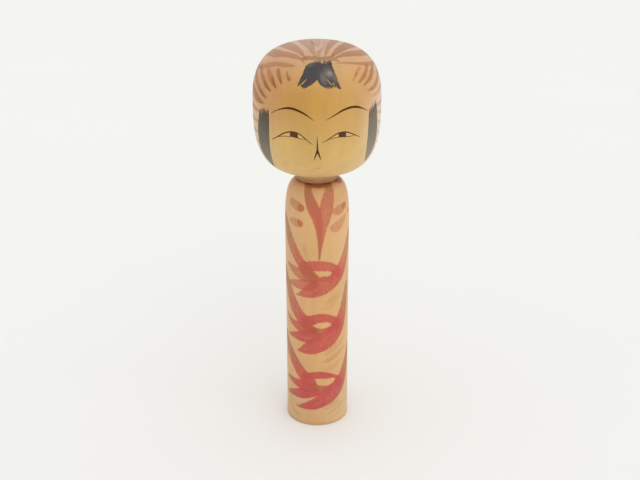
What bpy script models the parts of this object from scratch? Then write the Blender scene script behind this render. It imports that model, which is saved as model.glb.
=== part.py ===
"""Kokeshi doll: a turned wooden body and a turned wooden head that plugs into it.

The frame is in metres, +Z up.  The origin is the centre of the base, on the
surface that the doll stands on, and the painted face looks along -Y.  The head
turns by hand about +Z on the tenon under its neck.
"""

import math

import bpy
import numpy as np

# Whole doll
HEIGHT = 0.240
CLEARANCE = 0.0003              # between the two pieces, wherever they face each other

# Body
BODY_RADIUS = 0.01925
WAIST_DRAW_IN = 0.00015         # the side is this much slimmer half way up
BASE_EDGE_RADIUS = 0.0004
SEAT_HEIGHT = 0.160             # the flat on top of the shoulder, where the neck sits
SHOULDER_START = 0.131          # height where the side begins to curve in
SHOULDER_FLAT_RADIUS = 0.0096   # the shoulder's curve runs out flat here
SHOULDER_POWER = 3.06           # exponent of the shoulder's superellipse

# Head
HEAD_RADIUS = 0.037
HEAD_WIDEST = 0.2052            # height of the widest ring
HEAD_UNDERSIDE = 0.1664         # height of the flat under the chin
CROWN_POWER = 2.91              # exponent above the widest ring
CHIN_POWER = 2.73               # exponent below it
NECK_RADIUS = 0.0122
NECK_COVE = 0.0004              # depth of the neck's hollow

# Tenon and socket
TENON_RADIUS = 0.0075
TENON_LENGTH = 0.033
TENON_CHAMFER = 0.001
SOCKET_CHAMFER = 0.0006
SOCKET_SPARE_DEPTH = 0.0015     # air left under the tenon

# Fineness of the turned surfaces
TURN_STEPS = 64
MERGE_DISTANCE = 0.00001        # joins the turned surface along its seam and on the axis
SMOOTH_ANGLE = math.radians(35)

COLLECTION = "kokeshi_doll"
BODY_COLOUR = (0.66, 0.41, 0.20, 1.0)
HEAD_COLOUR = (0.62, 0.38, 0.16, 1.0)
WOOD_ROUGHNESS = 0.42


def clear_scene():
    for old in list(bpy.data.objects):
        bpy.data.objects.remove(old, do_unlink=True)


def quarter(inner_radius, outer_radius, flat_height, side_height, power, count):
    """A quarter superellipse from its flat end to its upright end, evenly spaced.

    It leaves (inner_radius, flat_height) level and arrives at
    (outer_radius, side_height) upright.
    """
    angle = np.linspace(0.0, math.pi / 2, 400)
    radius = inner_radius + (outer_radius - inner_radius) * np.sin(angle) ** (2 / power)
    height = side_height + (flat_height - side_height) * np.cos(angle) ** (2 / power)
    run = np.concatenate([[0.0], np.cumsum(np.hypot(np.diff(radius), np.diff(height)))])
    even = np.linspace(0.0, run[-1], count)
    return list(zip(np.interp(even, run, radius), np.interp(even, run, height)))


def body_side_radius(height):
    """The nearly straight side, drawn in a little towards the middle."""
    share = height / SHOULDER_START
    return BODY_RADIUS - WAIST_DRAW_IN * math.sin(math.pi * share)


def body_profile():
    """From the socket's floor, up its wall, over the shoulder and down to the base."""
    socket_radius = TENON_RADIUS + CLEARANCE
    socket_floor = SEAT_HEIGHT - TENON_LENGTH - SOCKET_SPARE_DEPTH
    points = [
        (0.0, socket_floor),
        (socket_radius, socket_floor),
        (socket_radius, SEAT_HEIGHT - SOCKET_CHAMFER),
        (socket_radius + SOCKET_CHAMFER, SEAT_HEIGHT),
    ]
    points += quarter(SHOULDER_FLAT_RADIUS, BODY_RADIUS, SEAT_HEIGHT, SHOULDER_START,
                      SHOULDER_POWER, 14)
    for height in np.linspace(SHOULDER_START, BASE_EDGE_RADIUS, 6)[1:-1]:
        points.append((body_side_radius(height), height))
    for angle in np.linspace(0.0, math.pi / 2, 4):
        points.append((BODY_RADIUS - BASE_EDGE_RADIUS * (1 - math.cos(angle)),
                       BASE_EDGE_RADIUS * (1 - math.sin(angle))))
    points.append((0.0, 0.0))
    return points


def head_profile():
    """From the crown, over the cheeks and chin, down the neck and the tenon."""
    points = quarter(0.0, HEAD_RADIUS, HEIGHT, HEAD_WIDEST, CROWN_POWER, 20)
    points += quarter(NECK_RADIUS, HEAD_RADIUS, HEAD_UNDERSIDE, HEAD_WIDEST,
                      CHIN_POWER, 17)[-2::-1]
    neck_foot = SEAT_HEIGHT + CLEARANCE
    for share in np.linspace(0.0, 1.0, 5)[1:]:
        cove = NECK_COVE * math.sin(math.pi * share)
        points.append((NECK_RADIUS - cove, HEAD_UNDERSIDE + (neck_foot - HEAD_UNDERSIDE) * share))
    tenon_end = SEAT_HEIGHT - TENON_LENGTH
    points += [
        (TENON_RADIUS, neck_foot),
        (TENON_RADIUS, tenon_end + TENON_CHAMFER),
        (TENON_RADIUS - TENON_CHAMFER, tenon_end),
        (0.0, tenon_end),
    ]
    return points


def wood(name, colour):
    material = bpy.data.materials.new(name)
    material.use_nodes = True
    shader = material.node_tree.nodes["Principled BSDF"]
    shader.inputs["Base Color"].default_value = colour
    shader.inputs["Roughness"].default_value = WOOD_ROUGHNESS
    shader.inputs["Metallic"].default_value = 0.0
    material.diffuse_color = colour
    return material


def turned(name, profile, pivot_height, material, collection):
    """A solid turned about +Z, with its origin on the axis at pivot_height."""
    outline = bpy.data.meshes.new(name + "_outline")
    points = [(radius, 0.0, height - pivot_height) for radius, height in profile]
    outline.from_pydata(points, [(i, i + 1) for i in range(len(points) - 1)], [])
    piece = bpy.data.objects.new(name, outline)
    piece.location = (0.0, 0.0, pivot_height)
    collection.objects.link(piece)

    screw = piece.modifiers.new("turning", "SCREW")
    screw.axis = "Z"
    screw.angle = math.tau
    screw.steps = TURN_STEPS
    screw.render_steps = TURN_STEPS
    screw.use_merge_vertices = True
    screw.merge_threshold = MERGE_DISTANCE

    # The turned surface is kept as a mesh, so that its crisp corners can be marked.
    bpy.context.view_layer.update()
    evaluated = piece.evaluated_get(bpy.context.evaluated_depsgraph_get())
    solid = bpy.data.meshes.new_from_object(evaluated)
    solid.name = name
    piece.modifiers.clear()
    piece.data = solid
    bpy.data.meshes.remove(outline)
    solid.shade_smooth()
    solid.set_sharp_from_angle(angle=SMOOTH_ANGLE)
    solid.materials.append(material)
    return piece


def main():
    clear_scene()
    collection = bpy.data.collections.new(COLLECTION)
    bpy.context.scene.collection.children.link(collection)

    turned("body", body_profile(), 0.0, wood("body_wood", BODY_COLOUR), collection)
    head_pivot = bpy.data.objects.new("head_pivot", None)
    head_pivot.empty_display_size = HEAD_RADIUS
    head_pivot.location = (0.0, 0.0, SEAT_HEIGHT)
    collection.objects.link(head_pivot)
    head = turned("head", head_profile(), SEAT_HEIGHT, wood("head_wood", HEAD_COLOUR), collection)
    head.parent = head_pivot
    head.location = (0.0, 0.0, 0.0)


main()
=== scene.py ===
"""The looks of the kokeshi doll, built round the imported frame.

Both pieces of wood are turned again as fine meshes on the frame's own sizes.  Dye is kept
on those meshes as each point's distance from the brush strokes, and the wood's material
turns it into stained wood.  Ink, and the white of the eyes, is a set of thin closed films
that follow the surface.

A place on a turned piece is (degrees, down): degrees round the axis from the middle of
the face towards the viewer's right, and millimetres along the surface from its top.
A line of ink is a list of (degrees, down, half width).
A stroke of dye is its strength and then its rows of (degrees, down, half width, share).
The share runs from 0, the wood's first dye, through 1, brown, to 2, a grey wash, and
stands for 1 where a row leaves it out.
Lengths are in millimetres until a mesh is made.
"""

import math

import bpy
import numpy as np
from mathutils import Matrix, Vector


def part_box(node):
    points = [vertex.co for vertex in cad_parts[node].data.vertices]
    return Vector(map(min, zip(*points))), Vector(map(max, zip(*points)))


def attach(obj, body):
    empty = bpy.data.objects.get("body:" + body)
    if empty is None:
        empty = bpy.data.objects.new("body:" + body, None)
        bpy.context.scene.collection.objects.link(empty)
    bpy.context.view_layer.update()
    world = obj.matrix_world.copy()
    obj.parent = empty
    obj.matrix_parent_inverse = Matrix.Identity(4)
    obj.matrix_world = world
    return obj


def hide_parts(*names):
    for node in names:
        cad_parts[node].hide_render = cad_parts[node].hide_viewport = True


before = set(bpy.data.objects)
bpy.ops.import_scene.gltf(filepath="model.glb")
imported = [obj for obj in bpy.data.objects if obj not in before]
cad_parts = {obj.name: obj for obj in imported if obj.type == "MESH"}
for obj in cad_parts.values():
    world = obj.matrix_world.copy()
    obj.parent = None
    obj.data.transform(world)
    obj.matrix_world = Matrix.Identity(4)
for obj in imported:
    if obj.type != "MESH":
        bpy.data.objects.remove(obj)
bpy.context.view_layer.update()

MM = 0.001
BODY_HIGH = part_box("body")[1]
HEAD_LOW, HEAD_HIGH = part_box("head")

# ---- Sizes, from the frame where it has them ----

HEIGHT = HEAD_HIGH.z / MM
SEAT_HEIGHT = BODY_HIGH.z / MM
BODY_RADIUS = BODY_HIGH.x / MM
HEAD_RADIUS = HEAD_HIGH.x / MM
TENON_END = HEAD_LOW.z / MM
CLEARANCE = 0.3

WAIST_DRAW_IN = 0.15
BASE_EDGE_RADIUS = 0.4
SHOULDER_START = 131.0
SHOULDER_FLAT_RADIUS = 9.6
SHOULDER_POWER = 3.06
HEAD_WIDEST = 205.2
HEAD_UNDERSIDE = 166.4
CROWN_POWER = 2.91
CHIN_POWER = 2.73
NECK_RADIUS = 12.2
NECK_COVE = 0.4
TENON_RADIUS = 7.5
TENON_CHAMFER = 1.0
SOCKET_CHAMFER = 0.6
SOCKET_SPARE_DEPTH = 1.5

GRID = 0.55                     # spacing of the rings of the fine meshes
HEAD_SECTORS = 416
BODY_SECTORS = 240
SHARP_ANGLE = math.radians(35)
NORMAL_STEP = 0.2               # half the stretch of skin that a normal is taken over

STROKE_SPACING = 0.35           # between the points that a stroke of dye is drawn through
LINE_SPACING = 0.16             # and a line of ink
INK_LIFT = 0.035                # the ink's film stands this far off the wood
INK_SUNK = 0.06                 # and reaches this far into it
THINNEST_DYE = 0.02
THINNEST_INK = 0.03
FAR = 6.0                       # edge distance where no dye is near
POINTS_AT_ONCE = 4000           # mesh points measured against a stroke in one go
STROKE_SHIFT = 7.3              # moves the brush streaks on from one stroke to the next
INK_SHIFT = 0.37                # and from one line of ink to the next, for each point so far
CURVE_POINTS = 1500             # in a quarter of a turned outline
NECK_POINTS, SIDE_POINTS, EDGE_POINTS = 13, 400, 12     # and in its other stretches
POLISH_HAZE = 0.030             # white that the polish's reflections add to every colour
DARKEST = 0.003                 # the least of red, green or blue below the polish
FAR_TONE = 1e-4                 # weight of tones beyond their reach
FLOW_REACH = 0.1                # a stroke's streaks hide older ones this far outside it

# ---- Turned surfaces ----


def quarter(inner_radius, outer_radius, flat_height, side_height, power):
    """A quarter superellipse from its flat end to its upright end, as dense points."""
    angle = np.linspace(0.0, math.pi / 2, CURVE_POINTS)
    radius = inner_radius + (outer_radius - inner_radius) * np.sin(angle) ** (2 / power)
    height = side_height + (flat_height - side_height) * np.cos(angle) ** (2 / power)
    return np.column_stack([radius, height])


def build_mesh(name, points, faces):
    """A smooth object from points in millimetres."""
    mesh = bpy.data.meshes.new(name)
    mesh.from_pydata((np.asarray(points) * MM).tolist(), [], faces)
    mesh.shade_smooth()
    mesh.set_sharp_from_angle(angle=SHARP_ANGLE)
    piece = bpy.data.objects.new(name, mesh)
    bpy.context.scene.collection.objects.link(piece)
    return piece


def give_values(piece, name, values):
    attribute = piece.data.attributes.new(name, "FLOAT", "POINT")
    attribute.data.foreach_set("value", np.asarray(values, np.float32))


def give_vectors(piece, name, vectors):
    attribute = piece.data.attributes.new(name, "FLOAT_VECTOR", "POINT")
    attribute.data.foreach_set("vector", np.asarray(vectors, np.float32).ravel())


def round_axis(angle, out, height):
    """Vectors at an angle from the front, with their parts outwards and upwards."""
    return np.stack([out * np.sin(angle), -out * np.cos(angle), height], axis=-1)


class Turned:
    """A turned solid.  Its skin is the part that shows and takes paint."""

    def __init__(self, before, skin, after, sectors):
        runs = np.hypot(*np.diff(skin, axis=0).T)
        self.skin = skin
        self.runs = np.concatenate([[0.0], np.cumsum(runs)])
        self.length = self.runs[-1]
        rings = np.linspace(0.0, self.length, int(round(self.length / GRID)) + 1)
        fine = np.column_stack([self.radius(rings), self.height(rings)])
        self.profile = np.vstack([np.reshape(before, (-1, 2)), fine, after])
        self.ring_down = np.concatenate([
            np.zeros(len(before)), rings, np.full(len(after), self.length)])
        self.sectors = sectors

    def radius(self, down):
        return np.interp(down, self.runs, self.skin[:, 0])

    def height(self, down):
        return np.interp(down, self.runs, self.skin[:, 1])

    def normal(self, degrees, down):
        out = self.height(down - NORMAL_STEP) - self.height(down + NORMAL_STEP)
        up = self.radius(down + NORMAL_STEP) - self.radius(down - NORMAL_STEP)
        size = np.maximum(np.hypot(out, up), 1e-9)
        return round_axis(np.radians(degrees), out, up) / size[..., None]

    def point(self, degrees, down, lift=0.0):
        on_skin = round_axis(np.radians(degrees), self.radius(down), self.height(down))
        return on_skin + self.normal(degrees, down) * np.asarray(lift)[..., None]

    def build(self, name):
        """One closed mesh, from the axis out along the profile and back to the axis."""
        rings = self.profile[1:-1]
        angle = np.linspace(0.0, math.tau, self.sectors, endpoint=False)
        wall = round_axis(angle, rings[:, :1], np.repeat(rings[:, 1:], self.sectors, axis=1))
        first, last = [0, 0, self.profile[0, 1]], [0, 0, self.profile[-1, 1]]
        points = np.vstack([wall.reshape(-1, 3), [first, last]])
        here = np.arange(self.sectors)
        beside = (here + 1) % self.sectors
        start = np.arange(len(rings) - 1)[:, None] * self.sectors
        quads = np.stack([start + here, start + self.sectors + here,
                          start + self.sectors + beside, start + beside], axis=-1)
        end = start[-1, 0] + self.sectors
        first_index, last_index = len(points) - 2, len(points) - 1
        faces = quads.reshape(-1, 4).tolist()
        pairs = list(zip(here.tolist(), beside.tolist()))
        faces += [(first_index, a, b) for a, b in pairs]
        faces += [(last_index, end + b, end + a) for a, b in pairs]
        self.piece = build_mesh(name, points, faces)
        self.points = points
        self.degrees = np.degrees(np.arctan2(points[:, 0], -points[:, 1]))
        self.down = np.concatenate([np.repeat(self.ring_down[1:-1], self.sectors),
                                    self.ring_down[[0, -1]]])


def head_surface():
    crown = quarter(0.0, HEAD_RADIUS, HEIGHT, HEAD_WIDEST, CROWN_POWER)
    chin = quarter(NECK_RADIUS, HEAD_RADIUS, HEAD_UNDERSIDE, HEAD_WIDEST, CHIN_POWER)
    neck_foot = SEAT_HEIGHT + CLEARANCE
    share = np.linspace(0.0, 1.0, NECK_POINTS)[1:]
    neck = np.column_stack([NECK_RADIUS - NECK_COVE * np.sin(math.pi * share),
                            HEAD_UNDERSIDE + (neck_foot - HEAD_UNDERSIDE) * share])
    tenon = [(TENON_RADIUS, neck_foot), (TENON_RADIUS, TENON_END + TENON_CHAMFER),
             (TENON_RADIUS - TENON_CHAMFER, TENON_END), (0.0, TENON_END)]
    return Turned([], np.vstack([crown, chin[-2::-1]]), np.vstack([neck, tenon]), HEAD_SECTORS)


def body_surface():
    """The skin starts where the shoulder runs out flat, and ends at the base."""
    socket_radius = TENON_RADIUS + CLEARANCE
    socket_floor = TENON_END - SOCKET_SPARE_DEPTH
    socket = [(0.0, socket_floor), (socket_radius, socket_floor),
              (socket_radius, SEAT_HEIGHT - SOCKET_CHAMFER),
              (socket_radius + SOCKET_CHAMFER, SEAT_HEIGHT)]
    shoulder = quarter(SHOULDER_FLAT_RADIUS, BODY_RADIUS, SEAT_HEIGHT, SHOULDER_START,
                       SHOULDER_POWER)
    height = np.linspace(SHOULDER_START, BASE_EDGE_RADIUS, SIDE_POINTS)[1:]
    waist = WAIST_DRAW_IN * np.sin(math.pi * height / SHOULDER_START)
    side = np.column_stack([BODY_RADIUS - waist, height])
    turn = np.linspace(0.0, math.pi / 2, EDGE_POINTS)[1:]
    edge = np.column_stack([BODY_RADIUS - BASE_EDGE_RADIUS * (1 - np.cos(turn)),
                            BASE_EDGE_RADIUS * (1 - np.sin(turn))])
    return Turned(socket, np.vstack([shoulder, side, edge]), [(0.0, 0.0)], BODY_SECTORS)


def from_above(x, y):
    """The place on the crown at arc lengths x to the viewer's right and y to the front."""
    return math.degrees(math.atan2(x, y)), math.hypot(x, y)


def smooth_curve(rows, steps):
    """Rows of numbers along a smooth curve through the given rows, steps to each gap."""
    rows = np.asarray(rows, float)
    before = np.vstack([2 * rows[0] - rows[1], rows[:-1]])
    after = np.vstack([rows[1:], 2 * rows[-1] - rows[-2]])
    slope = (after - before) / 2
    out = []
    for i, count in enumerate(steps):
        t = np.linspace(0.0, 1.0, count, endpoint=False)[:, None]
        out.append((2 * t**3 - 3 * t**2 + 1) * rows[i] + (t**3 - 2 * t**2 + t) * slope[i]
                   + (3 * t**2 - 2 * t**3) * rows[i + 1] + (t**3 - t**2) * slope[i + 1])
    return np.vstack(out + [rows[-1:]])


def drawn(surface, rows, spacing, above=False):
    """A stroke's dense points in space, its normals, and its other values."""
    rows = np.asarray(rows, float)

    def places(these):
        if not above:
            return these[:, 0], these[:, 1]
        return np.array([from_above(x, y) for x, y in these[:, :2]]).T

    corners = surface.point(*places(rows))
    gaps = np.linalg.norm(np.diff(corners, axis=0), axis=1)
    dense = smooth_curve(rows, [max(2, math.ceil(gap / spacing)) for gap in gaps])
    degrees, down = places(dense)
    return surface.point(degrees, down), surface.normal(degrees, down), dense[:, 2:]


def run_and_side(line, normals):
    """How far along a drawn line each point is, and which way is sideways there."""
    along = np.concatenate([[0.0], np.cumsum(np.linalg.norm(np.diff(line, axis=0), axis=1))])
    tangent = np.gradient(line, axis=0)
    tangent /= np.linalg.norm(tangent, axis=1)[:, None]
    return along, np.cross(normals, tangent)


# ---- Dye: what each point of a skin took up ----


class Dye:
    """Edge is the distance outside the nearest stroke, less than nothing inside one."""

    softness = 0.22

    def __init__(self, surface):
        self.surface = surface
        count = len(surface.points)
        self.edge = np.full(count, FAR)
        self.weight = np.full(count, 1e-9)
        self.most = np.full(count, 1e-9)
        self.depth = np.zeros(count)
        self.share = np.zeros(count)
        self.flow = np.zeros((count, 3))
        self.number = 0

    def nearest(self, rows, above):
        rows = [(*row, 1)[:4] for row in rows]
        line, normals, values = drawn(self.surface, rows, STROKE_SPACING, above)
        half_width = np.maximum(values[:, 0], THINNEST_DYE)
        reach = half_width.max() + FAR
        points = self.surface.points
        near = np.all((points > line.min(0) - reach) & (points < line.max(0) + reach), axis=1)
        near = np.flatnonzero(near)
        edge, index = np.empty(len(near)), np.empty(len(near), int)
        for part in np.array_split(np.arange(len(near)), max(1, len(near) // POINTS_AT_ONCE)):
            gap = np.linalg.norm(points[near[part], None] - line[None], axis=2) - half_width
            index[part] = gap.argmin(1)
            edge[part] = gap.min(1)
        return near, edge, index, line, normals, values

    def stroke(self, depth, rows, above=False):
        """Lays one stroke down, on top of those before it."""
        near, edge, index, line, normals, values = self.nearest(rows, above)
        self.number += 1
        cover = 1 / (1 + np.exp(np.minimum(edge / self.softness, 40.0)))
        along, side = run_and_side(line, normals)
        offset = self.surface.points[near] - line[index]
        across = np.einsum("ij,ij->i", offset, side[index])
        shift = np.full(len(near), self.number * STROKE_SHIFT)
        flow = np.column_stack([across, along[index], shift])
        on_top = (edge < FLOW_REACH) | (edge < self.edge[near])
        self.flow[near[on_top]] = flow[on_top]
        self.edge[near] = np.minimum(self.edge[near], edge)
        self.weight[near] += cover
        self.share[near] += cover * values[index, 1]
        self.depth[near] += cover * depth
        self.most[near] = np.maximum(self.most[near], cover)

    def leave_bare(self, rows):
        """Keeps one stroke's shape free of dye."""
        near, edge, *_ = self.nearest(rows, False)
        self.edge[near] = np.maximum(self.edge[near], -edge)

    def store(self):
        give_values(self.surface.piece, "dye_edge", self.edge)
        give_values(self.surface.piece, "dye_depth", self.depth / self.most)
        give_values(self.surface.piece, "dye_share", self.share / self.weight)
        give_vectors(self.surface.piece, "dye_flow", self.flow)


def linear(colour):
    """A linear colour from one on the 0 to 255 scale of paint charts."""
    share = np.asarray(colour, float) / 255
    return np.where(share <= 0.04045, share / 12.92, ((share + 0.055) / 1.055) ** 2.4)


def under_polish(colour, haze=POLISH_HAZE):
    """The linear colour below the polish that is seen as the given one through it."""
    return np.maximum(linear(colour) - haze, DARKEST)


def give_tone_and_light(surface, tones, reach):
    """The wood's colour, painted light included, blended between the places where it is given."""
    tones = np.array(tones, float)
    places = surface.point(tones[:, 0], tones[:, 1])
    colours = under_polish(tones[:, 2:])
    gap = np.linalg.norm(surface.points[:, None] - places[None], axis=2)
    weight = np.exp(-(gap / reach) ** 2) + FAR_TONE / (1 + gap) ** 2
    blended = weight @ colours / weight.sum(1)[:, None]
    give_vectors(surface.piece, "wood_tone", blended)


def bump_at(value, centre, width):
    return np.exp(-((value - centre) / width) ** 2)


def fade(value, start, end):
    """1 up to start, 0 from end on, smooth between."""
    share = np.clip((value - start) / (end - start), 0.0, 1.0)
    return 1 - share * share * (3 - 2 * share)


# ---- The painting: dye on the head ----

# The crown's bands fan out backwards from behind the forelock.  They and the ribbon have
# arc lengths as seen from above, to the viewer's right and to the front, as their places.
CROWN_BANDS = [
    (0.64, (-1, 21, .9, 1.6), (-2, 17, 1.4, 1.6), (-3.1, 13, 1.7, 1.5), (-3.5, 9, 2.4, 1.4),
     (-5.4, 0, 3.6, 1.2), (-7.9, -12, 3.7), (-9.3, -27, 3.5), (-9, -42, 2.4), (-8.5, -50, .6)),
    (0.54, (1.2, 21, .9, 1.6), (1.3, 17, 1.3, 1.5), (2.6, 13, .9, 1.4), (3.3, 8.5, .3, 1.4)),
    (0.54, (0.6, 9.4, .4, 1.4), (0.4, 5, 1.7, 1.4), (-0.4, 0, 2.6, 1.2), (-1.2, -12, 3), (-2.2, -27, 2.6),
     (-2.2, -42, 1.9), (-2, -51, .6)),
    (0.74, (-8, 19.5, .7), (-9.6, 15, 1.8), (-12.2, 10, 2.8), (-16.5, 0, 3.8), (-20, -11, 3.8),
     (-22, -25, 3.5), (-21, -39, 2.4), (-19, -47, .6)),
    (0.76, (-8.5, 23.5, .6, .8), (-12, 20, 1.8, .7), (-17.5, 15, 2.5, .7), (-22.5, 10, 3.2, .8),
     (-27, 0, 3.2), (-30.5, -11, 3.4), (-32, -23, 3.1), (-30, -35, 2.1), (-28, -42, .6)),
    (0.60, (-13, 27.2, .6, .7), (-17, 25, 1.4, .6), (-23, 20.5, 1.7, .5), (-29, 16, 1.8, .6),
     (-33.5, 11.5, 1.6, .8), (-37, 4, 1.2), (-39.5, -8, 1.6), (-41, -20, .6)),
    (0.42, (3.8, 9, .3), (4.2, 3, 1), (4.6, -5, 2), (5.2, -20, 2.4), (5, -38, 2), (4.5, -49, .6)),
    (0.84, (4.7, 20.6, .45, 1.3), (5.5, 15, 1.1, 1.3), (6.4, 10, 1.7, 1.2), (7.6, 4, 2.1), (8.6, -1, 2.3),
     (10.2, -9, 2.6), (11.8, -22, 2.8), (12, -38, 2.3), (11, -49, .6)),
    (0.92, (9, 19.4, 1), (12.5, 11.6, 2.5), (15.3, 5, 3.2), (17.5, 0, 3.6), (20, -11, 3.6),
     (21.5, -25, 3.2), (20.5, -38, 2.4), (19, -47, .6)),
    (0.88, (11, 21, .7, .9), (16.5, 15.4, 2.1, .9), (22, 10, 2.8, .9), (25.5, 5, 2.6), (29, -4, 2.9),
     (31, -15, 3), (31, -27, 2.5), (29, -38, .6)),
    (0.72, (11.5, 25.6, .4, .8), (17, 23.2, .7, .7), (22, 20.6, .9, .7), (27, 16.8, 1.2, .7),
     (31, 12, 1.4, .8), (34.5, 4, 1.2), (37.5, -7, 1.6), (39, -19, .6)),
]

# The ribbon across the fan's foot, its upper edge, and the folds at its left end
RIBBON = [
    (0.82, (-6.4, 22.9, 1.6, 1.8), (-1.6, 23.6, 1.6, 1.8), (2, 24, 1.5, 1.8), (6, 23.6, 1.6, 1.8),
     (9.5, 22.9, 1.5, 1.8), (12.2, 23.8, .5, 1.6)),
    (0.95, (-5.6, 21.2, .3, 1.6), (-1.6, 22.2, .4, 1.5), (1.8, 22.9, .5, 1.3), (4.6, 22.1, .55, 1.2),
     (8, 21, .7), (9.4, 19, .6)),
    (1.20, (-8.1, 18.6, .22, 1.3), (-6.9, 20.8, .38, 1.4), (-5.6, 22.6, .3, 1.4)),
    (1.20, (-7.5, 21.2, .25, 1.4), (-8, 24.4, .36, 1.4), (-7, 27, .25, 1.2)),
    (0.75, (-7.4, 22.2, .25, 1.6), (-6, 24.6, .5, 1.6)),
]

# Combed strokes that point at the face, most with a second coat at the tip
LEFT_COMB = [
    (0.86, (-31.4, 34.3, .5, .2), (-28.9, 36.4, .75, 0), (-26.6, 38.2, 1.1, 0)),
    (0.82, (-42.4, 34.2, 1.15, .6), (-38.8, 37, 1.3, .2), (-34.2, 40.6, .6, 0)),
    (1.40, (-37, 38.4, .35, .1), (-34.4, 40.5, .6, .1)),
    (0.64, (-56.5, 35.4, .9, .6), (-49, 38.6, 1.7, .3), (-44.6, 41, 1.6, 0), (-40, 43.3, .6, 0)),
    (2.10, (-46, 38.8, .25, .3), (-43.2, 41, .75, .2), (-39.2, 43.8, .45, .2)),
    (0.74, (-75, 35.5, .8, .6), (-64, 39, 1.3, .4), (-54, 43.1, 1.5, 0), (-45.6, 46.1, .5, 0)),
    (1.80, (-55, 42.4, .4, .2), (-50, 44.6, .75, .2), (-45, 46.2, .4, .2)),
    (0.80, (-92, 37, 1.2, .8), (-78, 41.5, 1.8, .4), (-64, 46.2, 1.8, 0), (-49.5, 50.6, .4, 0)),
    (1.50, (-62, 47.4, .5, .1), (-56, 49.4, .7, .1), (-50, 50.6, .4, .1)),
    (0.95, (-100, 44, 1.6, .8), (-84, 48, 2.6, .4), (-70, 51.6, 2.9, 0), (-61, 53.4, 1.8, 0),
     (-52, 54.2, .3, 0)),
    (0.80, (-108, 57, 1.4), (-90, 58.5, 1.7, .9), (-74, 59.3, 1.4, .3), (-61, 60, .6, 0)),
    (0.72, (-112, 64.5, 1.3), (-94, 65.2, 1.6), (-78, 66, 1.5), (-63, 66.4, .7)),
    (0.68, (-112, 71.8, 1.2), (-96, 72.2, 1.5), (-80, 72.8, 1.4), (-65, 73, .7)),
    (0.50, (-110, 79, 1), (-96, 79, 1.4), (-80, 79.4, 1.2), (-68, 79.6, .6)),
    (0.42, (-108, 86, .8), (-96, 85.6, 1.1), (-82, 85.8, .9), (-70, 86, .4)),
]
RIGHT_COMB = [
    (0.54, (50.6, 33, .7, .5), (45, 34.6, .9, .3), (40, 37, .9, .1), (34.2, 40.1, .35, 0)),
    (0.40, (42.4, 35.9, .25, .3), (40.4, 36.8, .45, .3)),
    (0.86, (64, 33.4, .7, .5), (53, 37.6, 1.3, .2), (45.5, 40, 1, .1), (40.6, 41.5, .35, 0)),
    (0.88, (77, 35.2, .8, .6), (66, 38, 1.5, .3), (57, 41, 1.3, .1), (47, 43.2, .4, 0)),
    (0.75, (49.5, 42.8, .3, .6), (47.2, 43.3, .4, .6)),
    (0.92, (90, 38, .8, .6), (77, 42, 1.3, .2), (63, 45.9, 1.3, 0), (51, 46.8, .4, 0)),
    (0.66, (96, 45, 1.2), (82, 48, 1.3, .9), (68, 50, .8, .4), (56.5, 50.9, .35, 0)),
    (0.60, (102, 53, 1.3), (86, 55.6, 1.6), (74, 57.2, 1.3, .8), (64, 57, .5, .6)),
    (0.46, (106, 62, 1.2), (90, 63.2, 1.4), (76, 63, 1.1), (66, 61, .5)),
    (0.44, (108, 69, 1.1), (92, 70, 1.3), (80, 69.6, 1), (67, 66.4, .5)),
    (0.42, (108, 75.5, 1), (92, 76.4, 1.2), (80, 75.8, .9), (68.5, 72.4, .4)),
    (0.38, (106, 82, .9), (92, 82.4, 1), (81, 81.8, .8), (70, 79, .4)),
]

# Bare wood on the head: degrees, down, and its colour there on the 0 to 255 scale.  The colours hold
# painted light: lighter on the right, where the light falls, painted shade under the chin, and paler sides
# that are partly a painted reflection
HEAD_TONES_AND_LIGHT = [
    (0, 0, 210, 174, 150), (180, 12, 213, 180, 158), (180, 32, 208, 168, 138), (0, 22, 210, 172, 142),
    (-40, 25, 216, 173, 140), (40, 25, 211, 168, 134), (-90, 28, 216, 176, 146), (90, 28, 214, 174, 144),
    (-14, 34, 210, 164, 114), (26, 34, 212, 168, 116), (-50, 38, 206, 150, 110), (-64, 43, 203, 150, 106),
    (-30, 42, 195, 145, 82), (32, 42, 208, 162, 94), (50, 40, 210, 160, 110), (62, 42, 214, 162, 114),
    (0, 46, 192, 144, 56), (-20, 49, 189, 142, 66), (20, 49, 198, 152, 74), (-50, 49, 198, 147, 94),
    (-76, 55, 206, 164, 122), (76, 54, 222, 194, 164), (-77, 64, 216, 190, 160), (-77, 72, 216, 192, 160),
    (77, 64, 228, 214, 198), (77, 74, 226, 208, 186), (0, 62, 207, 164, 97), (-30, 62, 205, 163, 107),
    (30, 62, 213, 169, 110), (0, 78, 208, 169, 102), (-30, 82, 215, 181, 108), (30, 82, 218, 181, 111),
    (0, 92, 215, 176, 110), (0, 99, 230, 190, 136), (-60, 88, 216, 184, 138), (60, 88, 224, 194, 146),
    (-35, 95, 222, 186, 124), (35, 95, 222, 184, 122), (180, 60, 210, 170, 120), (180, 95, 212, 174, 120),
    (0, 107, 200, 156, 108), (120, 95, 212, 174, 120), (-120, 95, 210, 172, 118),
]

# ---- The painting: dye on the body ----

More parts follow.
